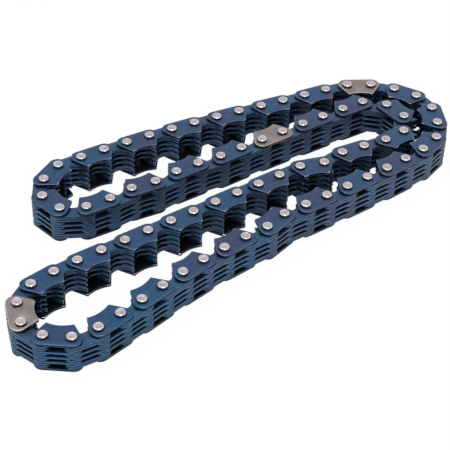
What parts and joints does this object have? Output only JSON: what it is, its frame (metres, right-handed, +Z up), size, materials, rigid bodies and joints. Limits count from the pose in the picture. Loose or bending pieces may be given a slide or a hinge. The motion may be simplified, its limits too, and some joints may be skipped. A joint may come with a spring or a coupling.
{
  "type": "silent timing chain",
  "caption": "Endless silent timing chain of stacked toothed plates on riveted pins, with bright timing-mark plates, lying folded like a hairpin.",
  "frame": {"origin": "middle of the folded chain's box in plan, on the plane of the lower pin heads", "axes": "+X along the length of the folded chain from its two free turns to the hairpin bend, +Z up along the pins"},
  "size_m": [0.167, 0.0752, 0.012],
  "materials": {
    "guide_plates": "satin blued",
    "inner_plates": "satin blued",
    "bare_steel": "bare, lightly mottled",
    "pin_steel": "bright rim, matt face"
  },
  "bodies": {
    "guide_link_00": {"guide_link_00": "guide_plates", "timing_mark_plate_00": "bare_steel"},
    "inner_link_01": {"inner_link_01": "inner_plates"},
    "guide_link_02": {"guide_link_02": "guide_plates"},
    "inner_link_03": {"inner_link_03": "inner_plates"},
    "link_pair_04_05": {"link_pair_04_05": "guide_plates"},
    "link_pair_06_07": {"link_pair_06_07": "guide_plates"},
    "link_pair_08_09": {"link_pair_08_09": "guide_plates"},
    "link_pair_10_11": {"link_pair_10_11": "guide_plates"},
    "guide_link_12": {"guide_link_12": "guide_plates"},
    "inner_link_13": {"inner_link_13": "inner_plates"},
    "link_pair_14_15": {"link_pair_14_15": "guide_plates"},
    "link_pair_16_17": {"link_pair_16_17": "guide_plates"},
    "guide_link_18": {"guide_link_18": "guide_plates"},
    "inner_link_19": {"inner_link_19": "inner_plates"},
    "guide_link_20": {"guide_link_20": "guide_plates"},
    "inner_link_21": {"inner_link_21": "inner_plates"},
    "guide_link_22": {"guide_link_22": "guide_plates"},
    "inner_link_23": {"inner_link_23": "inner_plates"},
    "guide_link_24": {"guide_link_24": "guide_plates"},
    "inner_link_25": {"inner_link_25": "inner_plates"},
    "guide_link_26": {"guide_link_26": "guide_plates", "timing_mark_plate_26": "bare_steel"},
    "inner_link_27": {"inner_link_27": "inner_plates"},
    "guide_link_28": {"guide_link_28": "guide_plates"},
    "inner_link_29": {"inner_link_29": "inner_plates"},
    "link_pair_30_31": {"link_pair_30_31": "guide_plates"},
    "link_pair_32_33": {"link_pair_32_33": "guide_plates"},
    "link_pair_34_35": {"link_pair_34_35": "guide_plates"},
    "link_pair_36_37": {"link_pair_36_37": "guide_plates"},
    "link_pair_38_39": {"link_pair_38_39": "guide_plates"},
    "guide_link_40": {"guide_link_40": "guide_plates"},
    "inner_link_41": {"inner_link_41": "inner_plates"},
    "guide_link_42": {"guide_link_42": "guide_plates"},
    "inner_link_43": {"inner_link_43": "inner_plates"},
    "guide_link_44": {"guide_link_44": "guide_plates"},
    "inner_link_45": {"inner_link_45": "inner_plates"},
    "link_pair_46_47": {"link_pair_46_47": "guide_plates"},
    "link_pair_48_49": {"link_pair_48_49": "guide_plates"},
    "link_pair_50_51": {"link_pair_50_51": "guide_plates"},
    "link_pair_52_53": {"link_pair_52_53": "guide_plates", "timing_mark_plate_52": "bare_steel"},
    "guide_link_54": {"guide_link_54": "guide_plates"},
    "inner_link_55": {"inner_link_55": "inner_plates"},
    "guide_link_56": {"guide_link_56": "guide_plates"},
    "inner_link_57": {"inner_link_57": "inner_plates"},
    "guide_link_58": {"guide_link_58": "guide_plates"},
    "inner_link_59": {"inner_link_59": "inner_plates"},
    "guide_link_60": {"guide_link_60": "guide_plates"},
    "inner_link_61": {"inner_link_61": "inner_plates"},
    "guide_link_62": {"guide_link_62": "guide_plates"},
    "inner_link_63": {"inner_link_63": "inner_plates"},
    "link_pair_64_65": {"link_pair_64_65": "guide_plates"},
    "link_pair_66_67": {"link_pair_66_67": "guide_plates"},
    "link_pair_68_69": {"link_pair_68_69": "guide_plates"},
    "link_pair_70_71": {"link_pair_70_71": "guide_plates"},
    "link_pair_72_73": {"link_pair_72_73": "guide_plates"},
    "link_pair_74_75": {"link_pair_74_75": "guide_plates"},
    "guide_link_76": {"guide_link_76": "guide_plates"},
    "inner_link_77": {"inner_link_77": "inner_plates"}
  },
  "joints": [
    {"name": "pivot_at_pin_01", "type": "hinge", "parent": "guide_link_00", "child": "inner_link_01", "pos_m": [-0.08014, -0.02139, 0.00602], "axis": [0, 0, 1], "range_deg": [-99, 21]},
    {"name": "pivot_at_pin_02", "type": "hinge", "parent": "inner_link_01", "child": "guide_link_02", "pos_m": [-0.07738, -0.0289, 0.00602], "axis": [0, 0, 1], "range_deg": [-93, 27]},
    {"name": "pivot_at_pin_03", "type": "hinge", "parent": "guide_link_02", "child": "inner_link_03", "pos_m": [-0.07097, -0.03369, 0.00602], "axis": [0, 0, 1], "range_deg": [-93, 27]},
    {"name": "pivot_at_pin_04", "type": "hinge", "parent": "inner_link_03", "child": "link_pair_04_05", "pos_m": [-0.06299, -0.03422, 0.00602], "axis": [0, 0, 1], "range_deg": [-75, 45]},
    {"name": "lower_lobe_spread_at_pin_06", "type": "hinge", "parent": "link_pair_04_05", "child": "link_pair_06_07", "pos_m": [-0.04731, -0.03104, 0.00602], "axis": [0, 0, 1], "range_deg": [-7.2, 9]},
    {"name": "pivot_at_pin_08", "type": "hinge", "parent": "link_pair_06_07", "child": "link_pair_08_09", "pos_m": [-0.03168, -0.02759, 0.00602], "axis": [0, 0, 1], "range_deg": [-57.5, 62.5]},
    {"name": "pivot_at_pin_10", "type": "hinge", "parent": "link_pair_08_09", "child": "link_pair_10_11", "pos_m": [-0.01588, -0.0251, 0.00602], "axis": [0, 0, 1], "range_deg": [-57.5, 62.5]},
    {"name": "pivot_at_pin_12", "type": "hinge", "parent": "link_pair_10_11", "child": "guide_link_12", "pos_m": [0.00007, -0.024, 0.00602], "axis": [0, 0, 1], "range_deg": [-73, 47]},
    {"name": "pivot_at_pin_13", "type": "hinge", "parent": "guide_link_12", "child": "inner_link_13", "pos_m": [0.00778, -0.02184, 0.00602], "axis": [0, 0, 1], "range_deg": [-45, 75]},
    {"name": "pivot_at_pin_14", "type": "hinge", "parent": "inner_link_13", "child": "link_pair_14_15", "pos_m": [0.01578, -0.02174, 0.00602], "axis": [0, 0, 1], "range_deg": [-60.5, 59.5]},
    {"name": "pivot_at_pin_16", "type": "hinge", "parent": "link_pair_14_15", "child": "link_pair_16_17", "pos_m": [0.03177, -0.02133, 0.00602], "axis": [0, 0, 1], "range_deg": [-60.5, 59.5]},
    {"name": "pivot_at_pin_18", "type": "hinge", "parent": "link_pair_16_17", "child": "guide_link_18", "pos_m": [0.04775, -0.02065, 0.00602], "axis": [0, 0, 1], "range_deg": [-62, 58]},
    {"name": "pivot_at_pin_19", "type": "hinge", "parent": "guide_link_18", "child": "inner_link_19", "pos_m": [0.05573, -0.02, 0.00602], "axis": [0, 0, 1], "range_deg": [-62, 58]},
    {"name": "pivot_at_pin_20", "type": "hinge", "parent": "inner_link_19", "child": "guide_link_20", "pos_m": [0.06367, -0.01906, 0.00602], "axis": [0, 0, 1], "range_deg": [-73, 47]},
    {"name": "pivot_at_pin_21", "type": "hinge", "parent": "guide_link_20", "child": "inner_link_21", "pos_m": [0.07121, -0.01637, 0.00602], "axis": [0, 0, 1], "range_deg": [-88, 32]},
    {"name": "pivot_at_pin_22", "type": "hinge", "parent": "inner_link_21", "child": "guide_link_22", "pos_m": [0.07659, -0.01045, 0.00602], "axis": [0, 0, 1], "range_deg": [-76, 44]},
    {"name": "hairpin_opening_at_pin_23", "type": "hinge", "parent": "guide_link_22", "child": "inner_link_23", "pos_m": [0.08013, -0.00328, 0.00602], "axis": [0, 0, 1], "range_deg": [-15.2, 0]},
    {"name": "pivot_at_pin_24", "type": "hinge", "parent": "inner_link_23", "child": "guide_link_24", "pos_m": [0.07996, 0.00472, 0.00602], "axis": [0, 0, 1], "range_deg": [-87.5, 32.5]},
    {"name": "pivot_at_pin_25", "type": "hinge", "parent": "guide_link_24", "child": "inner_link_25", "pos_m": [0.07612, 0.01174, 0.00602], "axis": [0, 0, 1], "range_deg": [-73, 47]},
    {"name": "pivot_at_pin_26", "type": "hinge", "parent": "inner_link_25", "child": "guide_link_26", "pos_m": [0.0708, 0.01771, 0.00602], "axis": [0, 0, 1], "range_deg": [-78.5, 41.5]},
    {"name": "pivot_at_pin_27", "type": "hinge", "parent": "guide_link_26", "child": "inner_link_27", "pos_m": [0.06386, 0.02169, 0.00602], "axis": [0, 0, 1], "range_deg": [-78.5, 41.5]},
    {"name": "pivot_at_pin_28", "type": "hinge", "parent": "inner_link_27", "child": "guide_link_28", "pos_m": [0.05601, 0.02325, 0.00602], "axis": [0, 0, 1], "range_deg": [-63, 57]},
    {"name": "pivot_at_pin_29", "type": "hinge", "parent": "guide_link_28", "child": "inner_link_29", "pos_m": [0.04809, 0.02441, 0.00602], "axis": [0, 0, 1], "range_deg": [-59.5, 60.5]},
    {"name": "pivot_at_pin_30", "type": "hinge", "parent": "inner_link_29", "child": "link_pair_30_31", "pos_m": [0.04019, 0.02563, 0.00602], "axis": [0, 0, 1], "range_deg": [-59.5, 60.5]},
    {"name": "pivot_at_pin_32", "type": "hinge", "parent": "link_pair_30_31", "child": "link_pair_32_33", "pos_m": [0.02441, 0.02828, 0.00602], "axis": [0, 0, 1], "range_deg": [-61, 59]},
    {"name": "pivot_at_pin_34", "type": "hinge", "parent": "link_pair_32_33", "child": "link_pair_34_35", "pos_m": [0.00858, 0.03059, 0.00602], "axis": [0, 0, 1], "range_deg": [-61, 59]},
    {"name": "pivot_at_pin_36", "type": "hinge", "parent": "link_pair_34_35", "child": "link_pair_36_37", "pos_m": [-0.00732, 0.03234, 0.00602], "axis": [0, 0, 1], "range_deg": [-61, 59]},
    {"name": "upper_lobe_spread_at_pin_38", "type": "hinge", "parent": "link_pair_36_37", "child": "link_pair_38_39", "pos_m": [-0.02328, 0.03354, 0.00602], "axis": [0, 0, 1], "range_deg": [-13.2, 16.5]},
    {"name": "pivot_at_pin_40", "type": "hinge", "parent": "link_pair_38_39", "child": "guide_link_40", "pos_m": [-0.03927, 0.03418, 0.00602], "axis": [0, 0, 1], "range_deg": [-90.5, 29.5]},
    {"name": "pivot_at_pin_41", "type": "hinge", "parent": "guide_link_40", "child": "inner_link_41", "pos_m": [-0.04628, 0.03034, 0.00602], "axis": [0, 0, 1], "range_deg": [-90.5, 29.5]},
    {"name": "pivot_at_pin_42", "type": "hinge", "parent": "inner_link_41", "child": "guide_link_42", "pos_m": [-0.05038, 0.02347, 0.00602], "axis": [0, 0, 1], "range_deg": [-104, 16]},
    {"name": "pivot_at_pin_43", "type": "hinge", "parent": "guide_link_42", "child": "inner_link_43", "pos_m": [-0.04855, 0.01568, 0.00602], "axis": [0, 0, 1], "range_deg": [-110, 10]},
    {"name": "pivot_at_pin_44", "type": "hinge", "parent": "inner_link_43", "child": "guide_link_44", "pos_m": [-0.04141, 0.01207, 0.00602], "axis": [0, 0, 1], "range_deg": [-84, 36]},
    {"name": "pivot_at_pin_45", "type": "hinge", "parent": "guide_link_44", "child": "inner_link_45", "pos_m": [-0.03342, 0.01168, 0.00602], "axis": [0, 0, 1], "range_deg": [-68, 52]},
    {"name": "pivot_at_pin_00", "type": "hinge", "parent": "guide_link_00", "child": "inner_link_77", "pos_m": [-0.07756, -0.01381, 0.00602], "axis": [0, 0, -1], "range_deg": [-96.9, 23.1]},
    {"name": "pivot_at_pin_77", "type": "hinge", "parent": "inner_link_77", "child": "guide_link_76", "pos_m": [-0.07096, -0.0093, 0.00602], "axis": [0, 0, -1], "range_deg": [-86.1, 33.9]},
    {"name": "pivot_at_pin_76", "type": "hinge", "parent": "guide_link_76", "child": "link_pair_74_75", "pos_m": [-0.06304, -0.00816, 0.00602], "axis": [0, 0, -1], "range_deg": [-63.5, 56.5]},
    {"name": "pivot_at_pin_74", "type": "hinge", "parent": "link_pair_74_75", "child": "link_pair_72_73", "pos_m": [-0.04707, -0.00734, 0.00602], "axis": [0, 0, -1], "range_deg": [-60, 60]},
    {"name": "pivot_at_pin_72", "type": "hinge", "parent": "link_pair_72_73", "child": "link_pair_70_71", "pos_m": [-0.03107, -0.007, 0.00602], "axis": [0, 0, -1], "range_deg": [-60, 60]},
    {"name": "pivot_at_pin_70", "type": "hinge", "parent": "link_pair_70_71", "child": "link_pair_68_69", "pos_m": [-0.01507, -0.00666, 0.00602], "axis": [0, 0, -1], "range_deg": [-60, 60]},
    {"name": "pivot_at_pin_68", "type": "hinge", "parent": "link_pair_68_69", "child": "link_pair_66_67", "pos_m": [0.00092, -0.00632, 0.00602], "axis": [0, 0, -1], "range_deg": [-60, 60]},
    {"name": "pivot_at_pin_66", "type": "hinge", "parent": "link_pair_66_67", "child": "link_pair_64_65", "pos_m": [0.01692, -0.00599, 0.00602], "axis": [0, 0, -1], "range_deg": [-60, 60]},
    {"name": "pivot_at_pin_64", "type": "hinge", "parent": "link_pair_64_65", "child": "inner_link_63", "pos_m": [0.03258, -0.00813, 0.00602], "axis": [0, 0, -1], "range_deg": [-35, 85]},
    {"name": "pivot_at_pin_63", "type": "hinge", "parent": "inner_link_63", "child": "guide_link_62", "pos_m": [0.04049, -0.00699, 0.00602], "axis": [0, 0, -1], "range_deg": [-75, 45]},
    {"name": "pivot_at_pin_62", "type": "hinge", "parent": "guide_link_62", "child": "inner_link_61", "pos_m": [0.04844, -0.00793, 0.00602], "axis": [0, 0, -1], "range_deg": [-61, 59]},
    {"name": "pivot_at_pin_61", "type": "hinge", "parent": "inner_link_61", "child": "guide_link_60", "pos_m": [0.05636, -0.00902, 0.00602], "axis": [0, 0, -1], "range_deg": [-47, 73]},
    {"name": "pivot_at_pin_60", "type": "hinge", "parent": "guide_link_60", "child": "inner_link_59", "pos_m": [0.06433, -0.00829, 0.00602], "axis": [0, 0, -1], "range_deg": [-14, 106]},
    {"name": "pivot_at_pin_59", "type": "hinge", "parent": "inner_link_59", "child": "guide_link_58", "pos_m": [0.06934, -0.00206, 0.00602], "axis": [0, 0, -1], "range_deg": [-14, 106]},
    {"name": "pivot_at_pin_58", "type": "hinge", "parent": "guide_link_58", "child": "inner_link_57", "pos_m": [0.06834, 0.00588, 0.00602], "axis": [0, 0, -1], "range_deg": [-19.5, 100.5]},
    {"name": "pivot_at_pin_57", "type": "hinge", "parent": "inner_link_57", "child": "guide_link_56", "pos_m": [0.06242, 0.01126, 0.00602], "axis": [0, 0, -1], "range_deg": [-19.5, 100.5]},
    {"name": "pivot_at_pin_56", "type": "hinge", "parent": "guide_link_56", "child": "inner_link_55", "pos_m": [0.05443, 0.01151, 0.00602], "axis": [0, 0, -1], "range_deg": [-59.5, 60.5]},
    {"name": "pivot_at_pin_55", "type": "hinge", "parent": "inner_link_55", "child": "guide_link_54", "pos_m": [0.04643, 0.01169, 0.00602], "axis": [0, 0, -1], "range_deg": [-59.5, 60.5]},
    {"name": "pivot_at_pin_54", "type": "hinge", "parent": "guide_link_54", "child": "link_pair_52_53", "pos_m": [0.03843, 0.0118, 0.00602], "axis": [0, 0, -1], "range_deg": [-59.5, 60.5]},
    {"name": "pivot_at_pin_52", "type": "hinge", "parent": "link_pair_52_53", "child": "link_pair_50_51", "pos_m": [0.02243, 0.01182, 0.00602], "axis": [0, 0, -1], "range_deg": [-59.5, 60.5]},
    {"name": "pivot_at_pin_50", "type": "hinge", "parent": "link_pair_50_51", "child": "link_pair_48_49", "pos_m": [0.00643, 0.01155, 0.00602], "axis": [0, 0, -1], "range_deg": [-66, 54]},
    {"name": "pivot_at_pin_48", "type": "hinge", "parent": "link_pair_48_49", "child": "link_pair_46_47", "pos_m": [-0.00954, 0.01219, 0.00602], "axis": [0, 0, -1], "range_deg": [-55, 65]}
  ],
  "couplings": [
    {"joint": "pivot_at_pin_01", "follows": "lower_lobe_spread_at_pin_06", "ratio": -0.47477},
    {"joint": "pivot_at_pin_02", "follows": "lower_lobe_spread_at_pin_06", "ratio": -0.29439},
    {"joint": "pivot_at_pin_03", "follows": "lower_lobe_spread_at_pin_06", "ratio": 0.06766},
    {"joint": "pivot_at_pin_04", "follows": "lower_lobe_spread_at_pin_06", "ratio": 0.66974},
    {"joint": "pivot_at_pin_08", "follows": "lower_lobe_spread_at_pin_06", "ratio": -0.30787},
    {"joint": "pivot_at_pin_10", "follows": "lower_lobe_spread_at_pin_06", "ratio": -1.1163},
    {"joint": "pivot_at_pin_12", "follows": "hairpin_opening_at_pin_23", "ratio": 0.26851},
    {"joint": "pivot_at_pin_13", "follows": "hairpin_opening_at_pin_23", "ratio": 0.37859},
    {"joint": "pivot_at_pin_14", "follows": "hairpin_opening_at_pin_23", "ratio": 0.25089},
    {"joint": "pivot_at_pin_16", "follows": "hairpin_opening_at_pin_23", "ratio": -0.11428},
    {"joint": "pivot_at_pin_18", "follows": "hairpin_opening_at_pin_23", "ratio": -0.41919},
    {"joint": "pivot_at_pin_19", "follows": "hairpin_opening_at_pin_23", "ratio": -0.4336},
    {"joint": "pivot_at_pin_20", "follows": "hairpin_opening_at_pin_23", "ratio": -0.25893},
    {"joint": "pivot_at_pin_21", "follows": "hairpin_opening_at_pin_23", "ratio": 0.16745},
    {"joint": "pivot_at_pin_22", "follows": "hairpin_opening_at_pin_23", "ratio": 0.71431},
    {"joint": "pivot_at_pin_24", "follows": "hairpin_opening_at_pin_23", "ratio": 0.95648},
    {"joint": "pivot_at_pin_25", "follows": "hairpin_opening_at_pin_23", "ratio": 0.62718},
    {"joint": "pivot_at_pin_26", "follows": "hairpin_opening_at_pin_23", "ratio": 0.08797},
    {"joint": "pivot_at_pin_27", "follows": "hairpin_opening_at_pin_23", "ratio": -0.31266},
    {"joint": "pivot_at_pin_28", "follows": "hairpin_opening_at_pin_23", "ratio": -0.36051},
    {"joint": "pivot_at_pin_29", "follows": "hairpin_opening_at_pin_23", "ratio": -0.26018},
    {"joint": "pivot_at_pin_30", "follows": "hairpin_opening_at_pin_23", "ratio": -0.09966},
    {"joint": "pivot_at_pin_32", "follows": "hairpin_opening_at_pin_23", "ratio": 0.25296},
    {"joint": "pivot_at_pin_34", "follows": "hairpin_opening_at_pin_23", "ratio": 0.50996},
    {"joint": "pivot_at_pin_36", "follows": "upper_lobe_spread_at_pin_38", "ratio": -1.0573},
    {"joint": "pivot_at_pin_40", "follows": "upper_lobe_spread_at_pin_38", "ratio": 0.16743},
    {"joint": "pivot_at_pin_41", "follows": "upper_lobe_spread_at_pin_38", "ratio": -0.03999},
    {"joint": "pivot_at_pin_42", "follows": "upper_lobe_spread_at_pin_38", "ratio": -0.1178},
    {"joint": "pivot_at_pin_43", "follows": "upper_lobe_spread_at_pin_38", "ratio": -0.39617},
    {"joint": "pivot_at_pin_44", "follows": "upper_lobe_spread_at_pin_38", "ratio": -0.93909},
    {"joint": "pivot_at_pin_45", "follows": "upper_lobe_spread_at_pin_38", "ratio": 0.98053},
    {"joint": "pivot_at_pin_00", "follows": "lower_lobe_spread_at_pin_06", "ratio": -0.54722},
    {"joint": "pivot_at_pin_77", "follows": "lower_lobe_spread_at_pin_06", "ratio": -0.44001},
    {"joint": "pivot_at_pin_76", "follows": "lower_lobe_spread_at_pin_06", "ratio": 0.03831},
    {"joint": "pivot_at_pin_74", "follows": "lower_lobe_spread_at_pin_06", "ratio": 1.2472},
    {"joint": "pivot_at_pin_72", "follows": "lower_lobe_spread_at_pin_06", "ratio": 0.14245},
    {"joint": "pivot_at_pin_70", "follows": "lower_lobe_spread_at_pin_06", "ratio": 0.09385},
    {"joint": "pivot_at_pin_68", "follows": "lower_lobe_spread_at_pin_06", "ratio": -0.0391},
    {"joint": "pivot_at_pin_66", "follows": "lower_lobe_spread_at_pin_06", "ratio": -0.03959},
    {"joint": "pivot_at_pin_64", "follows": "hairpin_opening_at_pin_23", "ratio": -0.1747},
    {"joint": "pivot_at_pin_63", "follows": "hairpin_opening_at_pin_23", "ratio": -0.08882},
    {"joint": "pivot_at_pin_62", "follows": "hairpin_opening_at_pin_23", "ratio": -0.16213},
    {"joint": "pivot_at_pin_61", "follows": "hairpin_opening_at_pin_23", "ratio": -0.28807},
    {"joint": "pivot_at_pin_60", "follows": "hairpin_opening_at_pin_23", "ratio": -0.40774},
    {"joint": "pivot_at_pin_59", "follows": "hairpin_opening_at_pin_23", "ratio": -0.43963},
    {"joint": "pivot_at_pin_58", "follows": "hairpin_opening_at_pin_23", "ratio": -0.45837},
    {"joint": "pivot_at_pin_57", "follows": "hairpin_opening_at_pin_23", "ratio": -0.44514},
    {"joint": "pivot_at_pin_56", "follows": "hairpin_opening_at_pin_23", "ratio": -0.26816},
    {"joint": "pivot_at_pin_55", "follows": "hairpin_opening_at_pin_23", "ratio": -0.15087},
    {"joint": "pivot_at_pin_54", "follows": "hairpin_opening_at_pin_23", "ratio": -0.07166},
    {"joint": "pivot_at_pin_52", "follows": "upper_lobe_spread_at_pin_38", "ratio": -0.00095},
    {"joint": "pivot_at_pin_50", "follows": "upper_lobe_spread_at_pin_38", "ratio": 0.00255},
    {"joint": "pivot_at_pin_48", "follows": "upper_lobe_spread_at_pin_38", "ratio": -0.04976}
  ]
}
